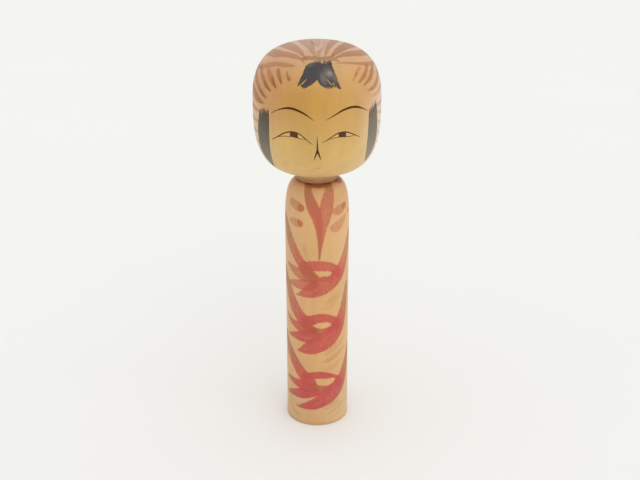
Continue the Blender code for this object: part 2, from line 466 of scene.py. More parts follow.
# Two bands that run together in one point, a second coat on the left one, and dye round
# the neck
COLLAR = [
    (0.95, (-23, 3.5, 2), (-19, 8, 2.3, .95), (-13.2, 13, 3.1, .6), (-6.8, 18, 3.6, .4),
     (-0.5, 24, 2.8, .3), (3, 31, 1.8, .4), (4.6, 39, 1.1, .6), (4.4, 46, .8), (4, 50.2, .5)),
    (0.82, (29, 3.5, 2.2), (26, 8, 2.9, .9), (22, 12, 3.7, .5), (18, 17, 4.3, .45), (13.6, 23, 3.9, .45),
     (10, 30, 2.7, .4), (7.5, 38, 1.5, .5), (5.2, 45, .8, .9), (4.2, 49.5, .4)),
    (0.42, (-18, 9.6, 1, .9), (-12, 13.6, 1.7, .8), (-6, 17.2, 1.5, .8), (0, 21.6, .8, .6)),
    (1.05, (-30, 2.8, 1.3, .9), (-16, 3.9, 1.4, .8), (-4, 4.4, 1.3, .7), (8, 4.5, 1.3, .7),
     (20, 4.1, 1.4, .8), (34, 2.8, 1.3, .9)),
]

# Loose petals beside the collar, some with a darker end
PETALS = [
    (0.60, (-54, 15.6, 1.8), (-45, 16.8, 2.7, .85), (-36, 17.8, 2.9, .7), (-30, 18.2, 2.3, .6)),
    (0.55, (-31.6, 18.2, 2, .75), (-29.2, 18.4, 2.1, .8)),
    (0.52, (-53.5, 27.4, 1.5), (-44, 27.8, 2.5, .9), (-36, 28, 2.8, .7), (-31, 28, 2.2, .5)),
    (0.62, (-33, 27.6, 1.5, .75), (-31.6, 28, 1.7, .8)),
    (0.58, (59, 18.6, 2), (50, 19.8, 2.8, .6), (40, 20.6, 2.8, .45), (34.5, 20.8, 1.9, .45)),
    (0.45, (60, 18.6, 1.6), (55, 19, 1.9, .9)),
    (0.50, (61, 24.8, 1), (53, 26.8, 2.1, .9), (45, 29, 3, .5), (37, 30.6, 3.3, .45),
     (30.5, 30.6, 2.4, .4)),
]

# Each flower: a left arm, an arch, two left petals, a sweep from the right arm to the tail,
# the sweep's browned outer edge, and a second coat below the slit that is left bare.
UPPER_FLOWER = [
    (0.88, (-76, 27, 2.4), (-68, 33, 3.4), (-58, 39.5, 3.8, .95), (-46, 46, 3.5, .5), (-34, 51.5, 3.3, .3),
     (-20, 57.5, 3.6, .35), (-8, 62, 3.2, .35)),
    (0.92, (-24, 55, 2.6, .3), (-10, 54.2, 3.2, .2), (4, 54.3, 3.4, .1), (18, 55, 3.1, .25),
     (30, 56.9, 2.9, .15), (42, 61, 2.6, 0)),
    (0.78, (-66.5, 56.7, .7), (-58, 57.2, 1.5, .9), (-47, 58.8, 2.6, .6), (-35, 60.2, 3.4, .4),
     (-20, 61.5, 3.4, .4), (-10, 62.2, 2.4, .5)),
    (0.78, (-63.5, 68.5, .3, .8), (-55, 68.3, 1.5, .6), (-45, 67.8, 2.5, .4), (-32, 67.6, 3.2, .3),
     (-17, 67, 3.4, .3), (-6, 66, 2.6, .3)),
    (0.88, (78, 36.5, 1.8), (71, 43, 2.9), (63, 49.5, 3.6, .9), (55, 55, 4.1, .35), (46, 59.6, 4.7, .05),
     (35, 63.2, 5.2, .1), (20, 66, 5.7, .15), (4, 68.6, 5.6, .15), (-11, 71, 4.4, .15),
     (-26, 73.3, 2.2, .25), (-36, 74.5, .9, .5), (-42, 75, .2, .6)),
    (0.34, (71, 48, .5), (64, 53.6, .9), (56, 58.6, 1.1), (46, 63.8, .8, .9), (36, 67.6, .4, .8)),
    (0.62, (-12, 58.6, 1.9, .3), (-4, 60.6, 1.4, .4), (6, 62.6, 1.3, .5), (16, 63.2, 1.4, .4),
     (26, 62.6, 1.3, .3)),
]
UPPER_SLIT = [(-1, 58.2, .2), (3, 58.7, .6), (9, 59.2, 1.2), (15, 59.5, 1.6), (20, 59.8, 1.5),
              (25, 59.4, .7), (27, 59.2, .2)]

MIDDLE_FLOWER = [
    (0.92, (-80, 61, 2.4), (-72, 68, 3.4), (-62, 74, 3.8, .85), (-54, 79, 4.1, .6), (-44, 84.5, 4.2, .4),
     (-32, 89, 4, .2), (-18, 93, 4, .1), (-8, 95.6, 3.2, .2)),
    (0.98, (-22, 91, 2.6, .1), (-8, 90, 3.1, .1), (5, 89.1, 3.1, .1), (15, 89.5, 3, .1),
     (26, 90.7, 2.7, .1), (37, 93.5, 2.8, 0), (44, 96.4, 2.4, 0)),
    (0.92, (-68.5, 90.5, .8), (-60, 93.2, 1.6, .8), (-49, 94.9, 2.3, .35), (-36, 96, 3.1, .1),
     (-20, 97, 3.6, .1), (-8, 98.2, 3, .1)),
    (0.95, (-66.5, 104.2, .3, .7), (-56, 103.8, 1.3, .35), (-45, 103.2, 2.4, .1), (-31, 102.6, 3.5, 0),
     (-15, 102, 4, .1), (-3, 101.4, 3.4, .2)),
    (0.95, (68, 70, 1.3), (64, 76, 2.5), (59, 83.5, 3.5, .75), (52, 91, 4.3, .25), (43, 96.8, 5.2, 0),
     (31, 101, 5.9, 0), (16, 104.4, 6.2, 0), (2, 107.2, 5.7, .05), (-12, 109.6, 4.5, .1),
     (-26, 111.6, 2.4, .2), (-36, 112.8, .9, .5), (-41, 113.1, .2, .7)),
    (0.34, (66, 79, .5), (61.5, 87, .9), (56, 93.6, 1.1), (48, 99.6, 1), (38, 104.8, .7, .9),
     (26, 109, .4, .8)),
    (1.00, (-8, 97.4, 2, .4), (4, 98.2, 2.4, .6), (13, 98.4, 2.3, .4), (24, 97.2, 1.9, .1)),
]
MIDDLE_SLIT = [(-6.5, 94.2, .3), (0, 94.1, 1.4), (7, 94.1, 1.8), (15, 93.8, 1.6), (21, 93.7, 1.1),
               (26, 93.7, .3)]

LOWER_FLOWER = [
    (0.95, (-80, 105, 2.4), (-70, 111.5, 3.3), (-60, 116, 3.7, .8), (-50, 120.4, 3.9, .45),
     (-39, 125, 3.8, .2), (-27, 129.6, 3.9, .05), (-13, 133.6, 3.8, .1)),
    (1.00, (-20, 130, 2.6, .1), (-6, 129.1, 2.7, .1), (5, 128.6, 2.5, .1), (15, 129.2, 2.4, .1),
     (28, 130.9, 2.1, 0), (40, 134, 2.5, 0), (47, 137.6, 2.6, 0)),
    (1.00, (-70, 135, .8), (-60, 135.5, 1.7, .7), (-48, 136, 2.4, .2), (-34, 136.5, 3.2, 0),
     (-18, 137.2, 3.8, .1), (-6, 138, 3.4, .2)),
    (1.00, (-70, 146.3, .7), (-60, 145.3, 1.7, .7), (-48, 144.3, 2.5, .3), (-34, 143.3, 3.4, 0),
     (-18, 142.1, 3.5, 0), (-4, 140.8, 2.8, 0)),
    (1.00, (80, 114, 1.8), (74, 120, 2.8), (67, 126, 3.6, .9), (60, 131, 4.3, .5), (52, 135.2, 5, .1),
     (42, 138.9, 5.8, 0), (30, 142.2, 5.9, 0), (16, 145, 5.6, 0), (3, 147.5, 5, 0), (-10, 149.8, 3.9, 0),
     (-24, 151.6, 2.3, .1), (-36, 153, .9, .6), (-42, 153.4, .2, .9)),
    (0.36, (74, 126, .5), (66, 132.6, .9), (58, 137.6, 1.1), (48, 142.6, 1), (38, 146.6, .7, .9),
     (26, 150, .4, .8)),
    (1.00, (-6, 136.4, 1.9, .5), (3, 138, 2.3, .6), (14, 138.8, 2.4, .4), (26, 138.6, 2.1, .1)),
]
LOWER_SLIT = [(-5, 131.5, .2), (1, 132.4, 1.1), (8, 133.3, 1.9), (16, 133.6, 2.2), (24, 133.8, 2.1),
              (30, 133.3, 1.5), (35, 132.8, .3)]
TAIL_SLIT = [(-34, 149.8, 1.1), (-24, 147.9, 1.1), (-14, 146, .75), (-6, 144.6, .45), (0, 143.6, .2)]

# Green leaf strokes that have faded to a faint olive brown
LEAVES = [
    (0.18, (16, 79.8, .7), (26, 78, 2.1), (37, 76.8, 2), (46, 75.2, .8)),
    (0.13, (8, 83, .5), (20, 82.4, 1.3), (32, 80.8, 1)),
    (0.20, (14, 114.6, .7), (27, 112.4, 1.7), (41, 109.8, 2.2), (57, 106.4, 1)),
    (0.34, (12, 119.6, .7), (26, 118, 1.7), (40, 116, 1.8), (58, 113, .8)),
    (0.17, (16, 125, .6), (28, 124.2, 1.5), (42, 122, 1.3), (54, 119.4, .5)),
    (0.30, (16, 153.6, .8), (26, 152, 1.8), (36, 150.6, 1.5), (44, 149.4, .6)),
    (0.22, (20, 157.2, .6), (32, 155.6, 1.6), (46, 153.4, 1.6), (56, 151, .6)),
    (0.16, (30, 160, .5), (42, 158.6, 1.1), (54, 156.4, .6)),
    (0.34, (-59, 152, .5), (-53, 155.4, .9), (-45, 158, .9), (-34, 159, .4)),
    (0.18, (-60, 149, .6), (-48, 151.6, 1.4), (-36, 153, .6)),
    (0.20, (-26, 41, .6), (-20, 46, 1.6), (-16.5, 51, .7)),
    (0.24, (-86, 124.5, 1), (-76, 121, 2.2), (-68, 117.6, 1.2)),
    (0.22, (-86, 75, 1), (-77, 71, 1.9), (-70, 68, 1)),
]

# Brown patches on the right of the shoulder beside the neck, and two nicks that took up dye
NECK_PATCHES_AND_NICKS = [
    (1.00, (58, 3.2, 1), (70, 3.6, 2.2), (84, 3.9, 1.6)),
    (0.70, (66, 3, .8), (74, 4.2, 1.3)),
    (0.70, (70, 21.4, .6), (71.5, 23.2, 1), (72, 25, .5)),
    (0.50, (-86, 108, .3), (-84, 109, .5), (-83, 110.5, .3)),
]

# Bare wood on the body, in the same way, with painted light: lighter on the right, where the light falls,
# and painted shade round the top by the neck
BODY_TONES_AND_LIGHT = [
    (0, 1, 206, 156, 114), (180, 1, 204, 156, 110), (-90, 1, 204, 156, 110), (90, 1, 204, 156, 110),
    (0, 12, 220, 172, 120), (-60, 14, 218, 176, 130), (60, 14, 228, 182, 130), (180, 14, 218, 174, 124),
    (-50, 40, 214, 171, 124), (0, 42, 213, 168, 112), (50, 40, 228, 184, 134), (180, 45, 214, 170, 118),
    (-50, 80, 218, 173, 128), (0, 80, 213, 167, 112), (55, 80, 221, 176, 126), (180, 85, 212, 168, 118),
    (-55, 120, 216, 172, 126), (0, 120, 211, 164, 112), (55, 115, 220, 176, 126), (180, 125, 210, 166, 116),
    (-40, 158, 210, 170, 128), (0, 158, 206, 162, 112), (45, 156, 216, 182, 136), (180, 158, 206, 164, 118),
]

HEAD_TONE_REACH = 13.0
BODY_TONE_REACH = 14.0
# Painted shade under the chin and on the neck, painted shade with some dirt at the seat under the head, and
# how much darker the foot is
CHIN_PAINTED_SHADE, CHIN_PAINTED_SHADE_REACH = 0.25, 6.0
NECK_PAINTED_SHADE, NECK_FOOT_PAINTED_SHADE = 0.15, 0.75
NECK_FOOT = (0.35, 0.85)        # where it darkens, as shares of the neck from the chin
SEAT_SHADE_AND_DIRT, SEAT_FRONT_SHADE_AND_DIRT, SEAT_SHADE_AND_DIRT_REACH = 0.62, 0.35, 5.5
FOOT_DARKENING, FOOT_DARKENING_REACH = 0.35, 3.0


def paint_head(surface):
    dye = Dye(surface)
    for depth, *rows in CROWN_BANDS + RIBBON:
        dye.stroke(depth, rows, above=True)
    for depth, *rows in LEFT_COMB + RIGHT_COMB:
        dye.stroke(depth, rows)
    dye.store()
    give_tone_and_light(surface, HEAD_TONES_AND_LIGHT, HEAD_TONE_REACH)
    # Painted shade under the chin and down the neck, deepest at the neck's foot
    chin_start = surface.length - CHIN_PAINTED_SHADE_REACH
    chin = CHIN_PAINTED_SHADE * (1 - fade(surface.down, chin_start, surface.length))
    below = (HEAD_UNDERSIDE - surface.points[:, 2]) / (HEAD_UNDERSIDE - SEAT_HEIGHT)
    neck = NECK_PAINTED_SHADE + NECK_FOOT_PAINTED_SHADE * (1 - fade(below, *NECK_FOOT))
    neck = np.where(below > 0.01, neck, 0.0)
    give_values(surface.piece, "grime", np.maximum(chin, neck))
    give_values(surface.piece, "down", surface.down)


def paint_body(surface):
    dye = Dye(surface)
    flowers = UPPER_FLOWER + MIDDLE_FLOWER + LOWER_FLOWER
    for depth, *rows in NECK_PATCHES_AND_NICKS + COLLAR + PETALS + LEAVES + flowers:
        dye.stroke(depth, rows)
    for slit in (UPPER_SLIT, MIDDLE_SLIT, LOWER_SLIT, TAIL_SLIT):
        dye.leave_bare(slit)
    dye.store()
    give_tone_and_light(surface, BODY_TONES_AND_LIGHT, BODY_TONE_REACH)
    # Painted shade with some dirt at the seat under the head, most at the front
    front = bump_at(surface.degrees, 3.0, 30.0)
    seat = fade(surface.down, 0.8 + 1.2 * front, SEAT_SHADE_AND_DIRT_REACH + front)
    seat *= SEAT_SHADE_AND_DIRT + SEAT_FRONT_SHADE_AND_DIRT * front
    # Darker towards the foot
    foot_start = surface.length - FOOT_DARKENING_REACH
    foot = FOOT_DARKENING * (1 - fade(surface.down, foot_start, surface.length))
    give_values(surface.piece, "grime", np.maximum(seat, foot))
    give_values(surface.piece, "down", surface.down)


# ---- Materials ----


class Nodes:
    """A material's nodes, wired by calling one method for each step."""

    def __init__(self, name):
        self.material = bpy.data.materials.new(name)
        self.material.use_nodes = True
        self.tree = self.material.node_tree
        self.shader = self.tree.nodes["Principled BSDF"]

    def put(self, socket, value):
        if isinstance(value, bpy.types.NodeSocket):
            self.tree.links.new(value, socket)
        elif isinstance(value, (int, float)):
            socket.default_value = value
        else:
            size = len(socket.default_value)
            socket.default_value = [*(float(v) for v in value), 1.0][:size]

    def node(self, kind, inputs, **settings):
        made = self.tree.nodes.new("ShaderNode" + kind)
        for key, value in settings.items():
            setattr(made, key, value)
        for key, value in inputs.items():
            self.put(made.inputs[key], value)
        return made

    def math(self, operation, *values, clamp=False):
        inputs = dict(enumerate(values))
        return self.node("Math", inputs, operation=operation, use_clamp=clamp).outputs[0]

    def plus(self, value, *others, clamp=False):
        for other in others[:-1]:
            value = self.math("ADD", value, other)
        return self.math("ADD", value, others[-1], clamp=clamp)

    def minus(self, value, other, clamp=False):
        return self.math("SUBTRACT", value, other, clamp=clamp)

    def times(self, value, other):
        return self.math("MULTIPLY", value, other)

    def remap(self, value, low, high, to_low=0.0, to_high=1.0):
        inputs = {"Value": value, "From Min": low, "From Max": high,
                  "To Min": to_low, "To Max": to_high}
        return self.node("MapRange", inputs, interpolation_type="SMOOTHSTEP").outputs["Result"]

    def swing(self, value, amount):
        """A noise as a share of brightness that swings by amount either way of nothing."""
        return self.remap(value, 0.25, 0.75, -amount, amount)

    def mix(self, share, a, b, blend="MIX"):
        made = self.node("Mix", {0: share, 6: a, 7: b}, data_type="RGBA", blend_type=blend)
        return made.outputs[2]

    def through(self, colour, filter_colour):
        """The colour as seen through a dye."""
        return self.mix(1.0, colour, filter_colour, blend="MULTIPLY")

    def scaled(self, vector, scale):
        inputs = {0: vector, 1: scale}
        return self.node("VectorMath", inputs, operation="MULTIPLY").outputs[0]

    def noise(self, vector, scale, detail=2.0, rough=0.5):
        """Noise of one scale, or of a scale for each axis."""
        if isinstance(scale, tuple):
            vector, scale = self.scaled(vector, scale), 1.0
        inputs = {"Vector": vector, "Scale": scale, "Detail": detail, "Roughness": rough}
        return self.node("TexNoise", inputs).outputs["Fac"]

    def value(self, name):
        return self.node("Attribute", {}, attribute_name=name).outputs["Fac"]

    def vector(self, name):
        return self.node("Attribute", {}, attribute_name=name).outputs["Vector"]

    def position(self):
        """Places on the object in millimetres."""
        place = self.node("TexCoord", {}).outputs["Object"]
        return self.scaled(place, (1 / MM, 1 / MM, 1 / MM))

    def brightness(self, colour, share):
        """The colour times 1 plus share."""
        gain = self.plus(share, 1.0)
        return self.through(colour, self.node("CombineColor", {0: gain, 1: gain, 2: gain}).outputs[0])

    def bump(self, height, strength, distance):
        inputs = {"Height": height, "Strength": strength, "Distance": distance * MM}
        self.put(self.shader.inputs["Normal"], self.node("Bump", inputs).outputs["Normal"])

    def finish(self, **constants):
        for key, value in constants.items():
            self.put(self.shader.inputs[key.replace("_", " ")], value)
        return self.material


RING_WIDTH = 2.6
RING_WANDER = 9.0               # how far the growth rings stray from circles
MARKS_PER_MM = 2.1


def wood_figure(nodes, place, down, pith):
    """Grain as a brightness share, and its height: fibres, rings, pores and turning marks."""
    fibre = nodes.noise(place, (1.3, 1.3, 0.035), 4.0, 0.6)
    broad = nodes.noise(place, (0.16, 0.16, 0.012))
    split = nodes.node("SeparateXYZ", {0: place})
    x, y = (nodes.minus(split.outputs[i], pith[i]) for i in (0, 1))
    radius = nodes.math("SQRT", nodes.plus(nodes.times(x, x), nodes.times(y, y)))
    wander = nodes.noise(place, (0.05, 0.05, 0.02))
    radius = nodes.plus(radius, nodes.times(wander, RING_WANDER))
    ring = nodes.math("SINE", nodes.times(radius, math.tau / RING_WIDTH))
    pore = nodes.remap(nodes.noise(place, (6.0, 6.0, 0.7), 1.0), 0.66, 0.76)
    mark_place = nodes.node("CombineXYZ", {0: nodes.times(down, MARKS_PER_MM), 1: 0.0, 2: 0.0})
    mark = nodes.noise(mark_place.outputs[0], 1.0, 3.0, 0.7)
    share = nodes.plus(nodes.swing(fibre, 0.030), nodes.swing(broad, 0.03), nodes.times(ring, 0.016))
    share = nodes.plus(nodes.minus(share, nodes.times(pore, 0.07)), nodes.swing(mark, 0.018))
    height = nodes.minus(nodes.times(mark, 0.7), nodes.times(pore, 0.5))
    return share, nodes.plus(height, nodes.times(fibre, 0.35))


# The red, green and blue that a full stroke of each dye, a grey wash, and the darkening of dirt and painted
# shade let through,
RED_DYE = (0.81, 0.19, 0.36)
BROWN_DYE = (0.63, 0.45, 0.34)
AMBER_DYE = (0.64, 0.45, 0.20)
GREY_WASH = (0.58, 0.55, 0.52)
DIRT_AND_SHADE = (0.45, 0.30, 0.24)
# and of the first three where several strokes overlap
DEEP_RED_DYE = (0.68, 0.14, 0.23)
DEEP_BROWN_DYE = (0.50, 0.33, 0.22)
DEEP_AMBER_DYE = (0.50, 0.30, 0.10)


def painted_wood(name, pith, first_dye, deep_dye):
    """Turned wood: its tone with painted light, its dyes, and dirt and painted shade, taken from the
    attributes that Dye and paint_ leave.
    """
    nodes = Nodes(name)
    place = nodes.position()
    figure, height = wood_figure(nodes, place, nodes.value("down"), pith)
    blotch = nodes.noise(place, 0.07, 3.0, 0.55)
    wood = nodes.brightness(nodes.vector("wood_tone"), nodes.plus(figure, nodes.swing(blotch, 0.03)))

    # dye bleeds a little along the fibres, and the brush leaves streaks
    streak = nodes.noise(nodes.vector("dye_flow"), (1.5, 0.10, 1.0), 3.0, 0.6)
    bleed = nodes.noise(place, (1.5, 1.5, 0.5), 3.0, 0.6)
    edge = nodes.plus(nodes.value("dye_edge"), nodes.swing(bleed, 0.22))
    cover = nodes.remap(edge, 0.45, -0.55)
    rim = nodes.remap(edge, -1.1, -0.15)
    depth = nodes.times(nodes.value("dye_depth"), nodes.remap(streak, 0.3, 0.72, 1.06, 0.90))
    soak = nodes.noise(place, (0.9, 0.9, 0.45), 4.0, 0.7)
    depth = nodes.plus(depth, nodes.swing(soak, 0.14), nodes.times(rim, 0.05))
    depth = nodes.times(depth, cover)
    share = nodes.value("dye_share")
    dye = nodes.mix(share, first_dye, BROWN_DYE)
    dye = nodes.mix(nodes.minus(share, 1.0, clamp=True), dye, GREY_WASH)
    deep = nodes.mix(share, deep_dye, DEEP_BROWN_DYE)
    first = nodes.math("MINIMUM", depth, 1.0)
    stained = nodes.mix(first, wood, nodes.through(wood, dye))
    stained = nodes.mix(nodes.remap(depth, 1.1, 3.3), stained, nodes.through(wood, deep))

    # painted shade under the chin and on the neck, painted shade and dirt at the seat, a darker foot, and a
    # few specks of dirt
    cloud = nodes.noise(place, 0.9, 4.0, 0.65)
    darkening = nodes.times(nodes.value("grime"), nodes.remap(cloud, 0.25, 0.75, 0.6, 1.0))
    speck = nodes.node("TexVoronoi", {"Vector": place, "Scale": 0.11}).outputs["Distance"]
    speck = nodes.remap(speck, 0.035, 0.018)
    darkening = nodes.math("MAXIMUM", darkening, nodes.times(speck, 0.35))
    colour = nodes.mix(darkening, stained, nodes.through(stained, DIRT_AND_SHADE))

    rough = nodes.remap(nodes.noise(place, 0.35, 4.0, 0.6), 0.3, 0.7, 0.40, 0.52)
    rough = nodes.plus(rough, nodes.times(first, 0.05), nodes.times(darkening, 0.15))
    nodes.bump(height, 0.35, 0.03)
    return nodes.finish(Base_Color=colour, Roughness=rough, Specular_IOR_Level=0.4,
                        Coat_Weight=0.12, Coat_Roughness=0.38)


def ink(name, thin_and_sheen_colour, full_colour, thinning, gloss=0.4):
    """Ink brushed along ink_flow; its wash attribute says how thin it has gone, and on the locks of hair it
    also holds a painted sheen and a painted reflection.
    """
    nodes = Nodes(name)
    flow = nodes.vector("ink_flow")
    streak = nodes.noise(flow, (3.2, 0.16, 1.0), 4.0, 0.65)
    fine = nodes.noise(flow, (9.0, 0.6, 1.0))
    grain = nodes.noise(nodes.position(), (2.0, 2.0, 0.4), 3.0)
    wash = nodes.plus(nodes.value("ink_wash"), nodes.swing(streak, thinning),
                      nodes.swing(fine, thinning * 0.5), nodes.swing(grain, thinning * 0.3),
                      clamp=True)
    haze = POLISH_HAZE * gloss / 0.5
    colour = nodes.mix(wash, under_polish(full_colour, haze), under_polish(thin_and_sheen_colour, haze))
    nodes.bump(nodes.plus(streak, fine), 0.4, 0.02)
    return nodes.finish(Base_Color=colour, Roughness=nodes.remap(streak, 0.3, 0.7, 0.42, 0.60),
                        Specular_IOR_Level=gloss)


def floor_paper():
    nodes = Nodes("floor_paper")
    place = nodes.position()
    cloud = nodes.noise(place, 0.004, 3.0)
    tooth = nodes.noise(place, 1.6)
    colour = nodes.brightness(tuple(linear(FLOOR_COLOUR)), nodes.swing(cloud, 0.006))
    nodes.bump(tooth, 0.15, 0.05)
    return nodes.finish(Base_Color=colour, Roughness=nodes.remap(tooth, 0.3, 0.7, 0.78, 0.88),
                        Specular_IOR_Level=0.2)


# ---- Ink: closed films on the head ----

# Across a line of ink: shares of its half width, with shares of the lift
SECTION = [(-1.0, -0.2), (-0.72, 0.8), (0.0, 1.0), (0.72, 0.8), (1.0, -0.2)]
UNDERSIDE = (0.7, -0.7)
PATCH_RIM_LIFT = -0.01
TUFT_ROWS = 28
LID_COLUMNS, LID_ROWS = 12, 8
HAIR_TIP = 0.04                 # half width at the tip of a single hair


class Film:
    """Gathers ribbons and patches of ink that lie on one surface into one piece."""

    def __init__(self, surface):
        self.surface = surface
        self.points, self.faces, self.flow, self.wash = [], [], [], []
        self.count = 0

    def add(self, points, faces, flow, wash):
        self.faces += [[int(i) + self.count for i in face] for face in faces]
        self.points.append(points)
        self.flow.append(flow.reshape(-1, 3))
        self.wash.append(wash)
        self.count += len(points)

    def shift(self, shape):
        """Keeps the streaks of one line or patch apart from the next one's."""
        return np.full(shape, self.count * INK_SHIFT)

    def line(self, rows, wash=0.0):
        """A brushed line of (degrees, down, half width), lens-shaped across."""
        line, normals, values = drawn(self.surface, rows, LINE_SPACING)
        half = np.maximum(values[:, 0], THINNEST_INK)
        along, side = run_and_side(line, normals)
        ring = [line + side * (half * a)[:, None] + normals * (lift * INK_LIFT)
                for a, lift in SECTION]
        ring += [line + side * (half * a)[:, None] - normals * INK_SUNK for a in UNDERSIDE]
        width = len(ring)
        points = np.stack(ring, axis=1).reshape(-1, 3)
        across = np.array([a for a, _ in SECTION] + [*UNDERSIDE])
        flow = np.stack([across[None] * half[:, None], np.repeat(along[:, None], width, 1),
                         self.shift((len(line), width))], axis=-1)
        here = np.arange(width)
        beside = (here + 1) % width
        start = np.arange(len(line) - 1)[:, None] * width
        faces = np.stack([start + here, start + beside, start + width + beside,
                          start + width + here], axis=-1).reshape(-1, 4).tolist()
        last = (len(line) - 1) * width
        faces += [[0, a + 1, a] for a in range(1, width - 1)]
        faces += [[last, last + a, last + a + 1] for a in range(1, width - 1)]
        self.add(points, faces, flow, np.full(len(points), wash))

    def patch(self, degrees, down, wash):
        """A film over a grid of places, columns by rows, with a soft rim."""
        columns, rows = degrees.shape
        lift = np.full(degrees.shape, INK_LIFT)
        for rim in (np.s_[0, :], np.s_[-1, :], np.s_[:, 0], np.s_[:, -1]):
            lift[rim] = PATCH_RIM_LIFT
        top = self.surface.point(degrees, down, lift)
        low = self.surface.point(degrees, down, np.full(degrees.shape, -INK_SUNK))
        points = np.vstack([top.reshape(-1, 3), low.reshape(-1, 3)])
        index = np.arange(columns * rows).reshape(columns, rows)
        a, b, c, d = index[:-1, :-1], index[:-1, 1:], index[1:, 1:], index[1:, :-1]
        under = columns * rows
        faces = np.stack([a, b, c, d], axis=-1).reshape(-1, 4).tolist()
        faces += (np.stack([d, c, b, a], axis=-1).reshape(-1, 4) + under).tolist()
        loop = [*index[:, 0], *index[-1, 1:], *index[-2::-1, -1], *index[0, -2:0:-1]]
        faces += [[p, q, q + under, p + under] for p, q in zip(loop, loop[1:] + loop[:1])]
        run = np.cumsum(np.linalg.norm(np.diff(top, axis=1, prepend=top[:, :1]), axis=2), axis=1)
        sideways = np.cumsum(np.linalg.norm(np.diff(top, axis=0, prepend=top[:1]), axis=2), axis=0)
        middle = np.repeat(sideways[:, rows // 2:rows // 2 + 1], rows, axis=1)
        flow = np.stack([middle, run, self.shift(run.shape)], axis=-1)
        wash = np.asarray(wash, float).reshape(-1)
        self.add(points, faces, np.stack([flow, flow]), np.concatenate([wash, wash]))

    def build(self, name, material):
        piece = build_mesh(name, np.vstack(self.points), self.faces)
        give_vectors(piece, "ink_flow", np.vstack(self.flow))
        give_values(piece, "ink_wash", np.concatenate(self.wash))
        piece.data.materials.append(material)
        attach(piece, "head")


BROWS = {
    "left": [(-43.5, 58.7, .12), (-38, 56.5, .22), (-33, 55.1, .35), (-28, 54.1, .55), (-22, 53.8, .72),
             (-16, 54.7, .68), (-11, 56.1, .55), (-6, 58.2, .3), (-2.5, 60, .1)],
    "right": [(8, 59.9, .1), (12, 58.3, .25), (17, 56.6, .4), (22, 55, .55), (28, 54, .66), (33, 53.8, .7),
              (38, 54.4, .62), (43, 55.7, .35), (47, 57, .2), (50, 58, .1)],
}
UPPER_LIDS = {
    "left": [(-43.5, 73.8, .15), (-38, 71.8, .26), (-34, 70.2, .32), (-30, 68.6, .35), (-25, 67.4, .38),
             (-21, 67, .4), (-16, 67.6, .35), (-12, 69.3, .3), (-8, 71.5, .25), (-3.5, 73.9, .12)],
    "right": [(4.5, 72.6, .12), (8, 71.5, .22), (12, 69.9, .28), (16, 68.3, .34), (20, 67.4, .38),
              (25, 67.3, .38), (30, 68.4, .33), (34, 69.6, .28), (38, 71, .2), (41, 72, .1)],
}
LOWER_LIDS = {
    "left": [(-41, 72.8, .1), (-36, 71.2, .18), (-30, 70.2, .2), (-24, 69.8, .22), (-20, 69.9, .22),
             (-15, 70.4, .2), (-8.5, 70.9, .1)],
    "right": [(10, 70.9, .1), (15, 70.1, .18), (20, 69.9, .22), (25, 70.1, .22), (30, 70.3, .18),
              (35, 70.1, .1)],
}
IRISES = {"left": (-23.8, -16.2), "right": (18.8, 26.0)}
EYE_WHITES = {"left": [(-30, -24.3), (-15.8, -11.5)], "right": [(13.5, 18.3), (26.5, 31.5)]}
NOSE = [
    [(0.3, 69, .1), (0.4, 73, .32), (0.5, 77, .5), (0.6, 79.5, .35)],
    [(0.2, 77, .35), (-0.8, 80, .42), (-1.9, 82, .26), (-2.8, 83.4, .08)],
    [(0.8, 77, .35), (2.0, 80, .45), (3.0, 82, .28), (3.9, 83.4, .08)],
]
MOUTH = [(-1.2, 89.8, .08), (0, 89.6, .2), (1.5, 89.5, .24), (3, 89.3, .1)]


def lid_height(rows, degrees):
    return np.interp(degrees, [r[0] for r in rows], [r[1] for r in rows])


def between_lids(film, side, span, share_low, share_high):
    """A patch from lid to lid, over a span of degrees."""
    across = np.linspace(*span, LID_COLUMNS)
    top = lid_height(UPPER_LIDS[side], across)
    bottom = lid_height(LOWER_LIDS[side], across)
    share = np.linspace(share_low, share_high, LID_ROWS)
    down = top[:, None] + (bottom - top)[:, None] * share[None]
    film.patch(np.repeat(across[:, None], len(share), 1), down, np.zeros(down.shape))


def build_eyes(surface, line_ink, iris_ink, white_paint):
    for side in ("left", "right"):
        brow, lids, iris, white = (Film(surface) for _ in range(4))
        brow.line(BROWS[side])
        brow.build("brow_" + side, line_ink)
        lids.line(UPPER_LIDS[side])
        lids.line(LOWER_LIDS[side], wash=0.2)
        lids.build("eyelids_" + side, line_ink)
        between_lids(iris, side, IRISES[side], 0.05, 0.98)
        iris.build("iris_" + side, iris_ink)
        for span in EYE_WHITES[side]:
            between_lids(white, side, span, 0.22, 0.88)
        white.build("eye_white_" + side, white_paint)


def build_nose_and_mouth(surface, line_ink, lip_ink):
    nose = Film(surface)
    for rows in NOSE:
        nose.line(rows)
    nose.build("nose", line_ink)
    mouth = Film(surface)
    mouth.line(MOUTH, wash=0.3)
    mouth.build("mouth", lip_ink)


# ---- Ink: the locks of hair ----


def forelock_sheen_and_thinning(across, down):
    """A painted highlight: a patch on the right with a brighter spot, and a painted streak of sheen down
    from it.  The ink is also paler at the top left, and thin low on the right-hand edge.
    """
    patch = 0.34 * bump_at(across, 0.80, 0.15) * bump_at(down, 33.4, 2.9)
    bright = 0.56 * bump_at(across, 0.84, 0.09) * bump_at(down, 34.3, 1.5)
    streak = 0.36 * bump_at(across, 0.62 + 0.012 * (down - 36), 0.085) * bump_at(down, 37.0, 3.0)
    top = 0.30 * bump_at(across, 0.10, 0.14) * bump_at(down, 28.6, 1.3)
    side = 0.30 * bump_at(across, 0.95, 0.07) * bump_at(down, 37.2, 2.2)
    return 0.05 + patch + bright + streak + top + side


